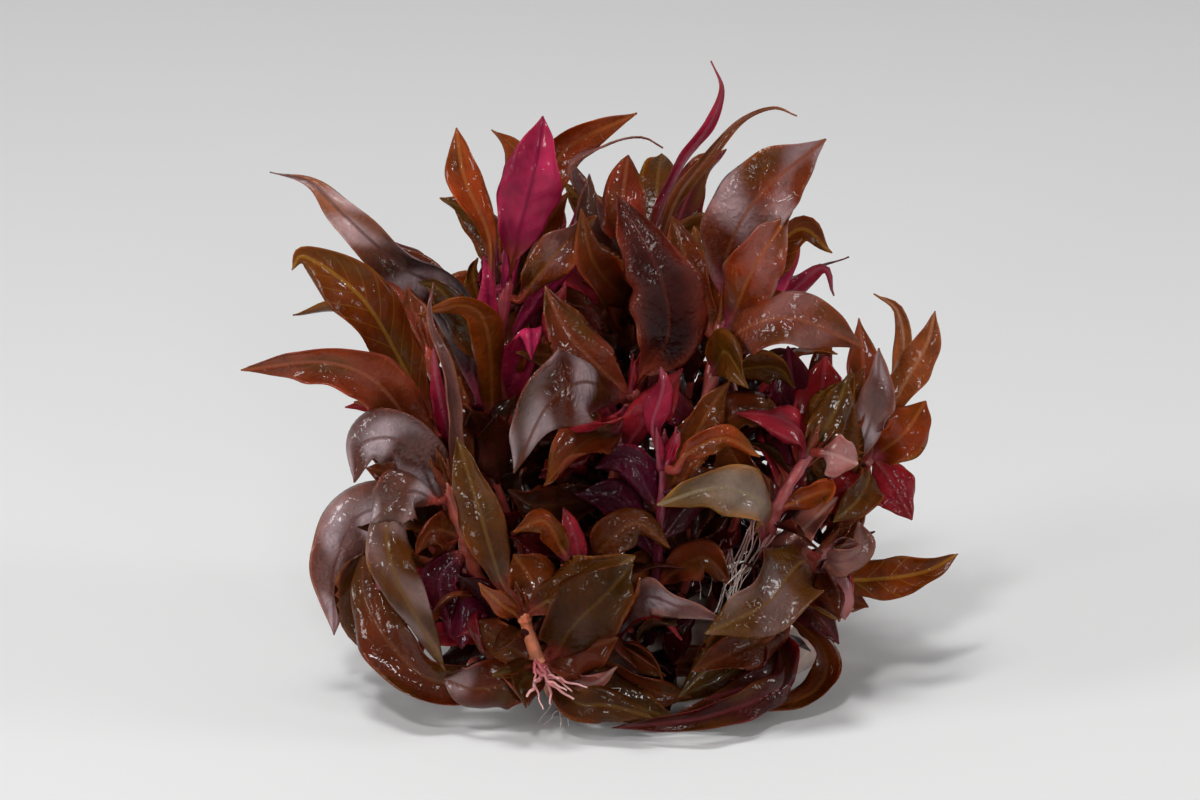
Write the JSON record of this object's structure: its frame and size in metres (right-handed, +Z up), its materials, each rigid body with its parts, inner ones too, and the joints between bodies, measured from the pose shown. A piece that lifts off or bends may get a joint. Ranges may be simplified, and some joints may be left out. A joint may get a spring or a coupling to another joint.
{
  "type": "mini alternanthera reineckii aquarium plant clump",
  "caption": "Dense tuft of red and brown aquarium plantlets with lance-shaped leaves, thin stems and pale roots, resting on a low lump of growing gel.",
  "frame": {"origin": "middle of the front view on the flat underside of the gel, where the clump rests", "axes": "+Z up, -Y toward the viewer of the picture, +X to the viewer's right"},
  "size_m": [0.07, 0.0526, 0.0578],
  "materials": {
    "leaf_amber": "wet leaf",
    "leaf_russet": "wet leaf",
    "leaf_magenta": "wet leaf",
    "leaf_olive": "wet leaf",
    "leaf_umber": "wet leaf",
    "leaf_slate": "wet leaf",
    "leaf_lilac": "wet leaf",
    "leaf_pink": "wet leaf",
    "leaf_cream": "wet leaf",
    "leaf_tan": "wet leaf",
    "leaf_rose": "wet leaf",
    "leaf_ochre": "wet leaf",
    "leaf_plum": "wet leaf",
    "leaf_brown": "wet leaf",
    "stem": "wet stem with its young leaves",
    "root": "wet root",
    "gel": "clear gel"
  },
  "bodies": {
    "root": {"culture_gel": "gel", "leaf_amber_behind": "leaf_amber", "leaf_amber_fan": "leaf_amber", "leaf_amber_hook": "leaf_amber", "leaf_amber_right": "leaf_amber", "leaf_amber_small": "leaf_amber", "leaf_amber_upright": "leaf_amber", "leaf_brown_arch": "leaf_brown", "leaf_brown_back_left": "leaf_brown", "leaf_brown_back_middle_left": "leaf_brown", "leaf_brown_back_middle_right": "leaf_brown", "leaf_brown_back_right": "leaf_brown", "leaf_brown_dome": "leaf_brown", "leaf_cream_broad": "leaf_cream", "leaf_lilac_band": "leaf_lilac", "leaf_lilac_edge": "leaf_lilac", "leaf_lilac_hanging": "leaf_lilac", "leaf_lilac_pale": "leaf_lilac", "leaf_magenta_upright": "leaf_magenta", "leaf_ochre_broad": "leaf_ochre", "leaf_ochre_wavy": "leaf_ochre", "leaf_olive_broad": "leaf_olive", "leaf_olive_curl": "leaf_olive", "leaf_olive_glossy": "leaf_olive", "leaf_olive_right": "leaf_olive", "leaf_olive_tall": "leaf_olive", "leaf_pink_ribbon": "leaf_pink", "leaf_pink_upright": "leaf_pink", "leaf_plum_sweep": "leaf_plum", "leaf_rose_white": "leaf_rose", "leaf_russet_curl": "leaf_russet", "leaf_russet_flat": "leaf_russet", "leaf_russet_long": "leaf_russet", "leaf_russet_rugose": "leaf_russet", "leaf_slate_broad": "leaf_slate", "leaf_slate_dome": "leaf_slate", "leaf_tan_kite": "leaf_tan", "leaf_tan_ribbon": "leaf_tan", "leaf_umber_boat": "leaf_umber", "leaf_umber_glossy": "leaf_umber", "leaf_umber_low": "leaf_umber", "leaf_umber_tall": "leaf_umber", "roots_front": "root", "roots_right": "root", "stem_back_left": "stem", "stem_back_middle_left": "stem", "stem_back_middle_right": "stem", "stem_back_right": "stem", "stem_centre": "stem", "stem_front_low": "stem", "stem_left": "stem", "stem_left_low": "stem", "stem_middle": "stem", "stem_pink": "stem", "stem_right": "stem", "stem_right_low": "stem", "stem_right_mid": "stem", "stem_right_top": "stem", "stem_tall": "stem", "stem_top": "stem"}
  },
  "joints": []
}
